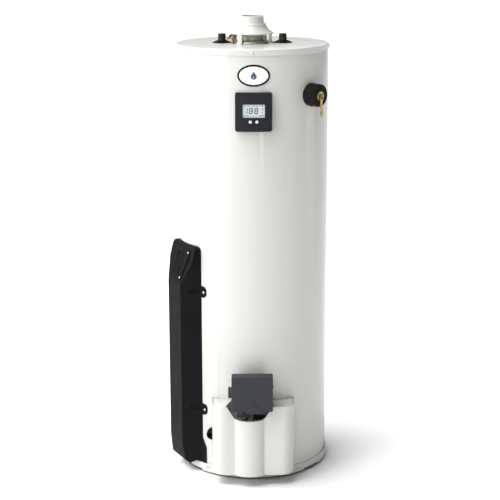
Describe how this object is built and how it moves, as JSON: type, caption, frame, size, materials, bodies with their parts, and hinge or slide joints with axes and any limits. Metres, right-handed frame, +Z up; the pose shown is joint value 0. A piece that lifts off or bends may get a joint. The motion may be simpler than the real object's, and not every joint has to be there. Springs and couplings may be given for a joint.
{
  "type": "tank water heater",
  "caption": "Tall cylindrical gas tank water heater with draft hood, flue damper, side air duct, gas control, burner cover and display.",
  "frame": {"origin": "on the tank's axis at floor level, in the plane of the base pan's underside", "axes": "+Z up along the tank, -Y towards the front where the gas control and display are, +X to the right"},
  "size_m": [0.5475, 0.603, 1.544],
  "materials": {
    "white_enamel": "gloss",
    "galvanised_base": "satin",
    "raw_steel": "matte",
    "stainless": "satin",
    "plated_steel": "satin",
    "aluminium_tube": "satin",
    "brass_fitting": "satin",
    "brass_lever": "satin",
    "galvanised": "satin",
    "galvanised_green": "satin",
    "fibre_gasket": "matte",
    "sight_glass": "gloss",
    "zinc_screws": "satin",
    "dark_nipple": "satin",
    "white_plastic": "satin",
    "anode_metal": "matte",
    "foam": "matte",
    "black_plastic": "satin",
    "grey_plastic": "satin",
    "dark_plastic": "satin",
    "cast_aluminium": "matte",
    "circuit_board": "satin",
    "lcd": "satin",
    "lcd_window": "gloss",
    "cable_black": "satin",
    "badge": "gloss",
    "black_foam": "matte",
    "motor_case": "satin",
    "wires": "satin"
  },
  "bodies": {
    "heater": {"base_pan": "galvanised_base", "base_ring": "white_enamel", "combustion_skirt": "raw_steel", "flame_arrestor": "stainless", "burner": "stainless", "manifold_tube": "plated_steel", "pilot_tube": "aluminium_tube", "pilot_burner": "brass_fitting", "inner_door": "galvanised", "door_gasket": "fibre_gasket", "sight_glass": "sight_glass", "door_screws": "zinc_screws", "tank_shell": "raw_steel", "bottom_head": "raw_steel", "top_head": "raw_steel", "flue_tube": "raw_steel", "flue_baffle": "stainless", "tank_spuds": "raw_steel", "cold_nipple": "dark_nipple", "hot_nipple": "dark_nipple", "dip_tube": "white_plastic", "anode_rod": "anode_metal", "foam_insulation": "foam", "jacket": "white_enamel", "top_cover": "white_enamel", "top_cover_screws": "zinc_screws", "air_sleeve": "galvanised", "duct_cover": "black_plastic", "duct_panel": "black_plastic", "duct_screws": "zinc_screws", "intake_plate": "black_plastic", "gas_valve_body": "cast_aluminium", "thermostat_shank": "brass_fitting", "gas_cover": "grey_plastic", "control_plug": "black_plastic", "display_housing": "dark_plastic", "display_backplate": "dark_plastic", "circuit_board": "circuit_board", "lcd_panel": "lcd", "lcd_window": "lcd_window", "control_harness": "cable_black", "badge": "badge", "relief_valve_body": "brass_fitting", "relief_boot": "black_foam", "drain_valve_body": "black_plastic", "pipe_rosettes": "black_plastic", "draft_hood": "white_enamel", "hood_legs": "white_enamel", "damper_body": "galvanised_green", "damper_motor": "motor_case", "damper_wires": "wires"},
    "burner_cover": {"burner_cover": "white_enamel"},
    "gas_knob": {"gas_knob": "grey_plastic"},
    "relief_stem": {"relief_stem": "stainless"},
    "relief_lever": {"relief_lever": "brass_lever"},
    "button_left": {"button_left": "white_plastic"},
    "button_right": {"button_right": "white_plastic"},
    "drain_knob": {"drain_knob": "black_plastic"},
    "damper": {"damper_plate": "galvanised", "damper_shaft": "stainless"}
  },
  "joints": [
    {"name": "burner_cover_pull", "type": "slide", "parent": "heater", "child": "burner_cover", "axis": [0, -1, 0], "range_m": [0, 0.12]},
    {"name": "gas_knob_turn", "type": "hinge", "parent": "heater", "child": "gas_knob", "pos_m": [-0.077, -0.322, 0.335], "axis": [-1, 0, 0], "range_deg": [0, 90]},
    {"name": "relief_stem_lift", "type": "slide", "parent": "heater", "child": "relief_stem", "axis": [0.7431, -0.6691, 0], "range_m": [0, 0.0025]},
    {"name": "relief_lever_swing", "type": "hinge", "parent": "relief_stem", "child": "relief_lever", "pos_m": [0.22443, -0.20208, 1.302], "axis": [-0.6691, -0.7431, 0], "range_deg": [0, 90]},
    {"name": "button_left_press", "type": "slide", "parent": "heater", "child": "button_left", "axis": [0, 1, 0], "range_m": [0, 0.0012], "stiffness_N_per_m": 400},
    {"name": "button_right_press", "type": "slide", "parent": "heater", "child": "button_right", "axis": [0, 1, 0], "range_m": [0, 0.0012], "stiffness_N_per_m": 400},
    {"name": "drain_knob_turn", "type": "hinge", "parent": "heater", "child": "drain_knob", "pos_m": [-0.1397, -0.21928, 0.15], "axis": [-0.5373, -0.8434, 0], "range_deg": [0, 360]},
    {"name": "damper_turn", "type": "hinge", "parent": "heater", "child": "damper", "pos_m": [0, 0, 1.47], "axis": [0, 1, 0], "range_deg": [0, 90]}
  ],
  "couplings": [
    {"joint": "relief_stem_lift", "follows": "relief_lever_swing", "m_per_rad": 0.00159}
  ]
}
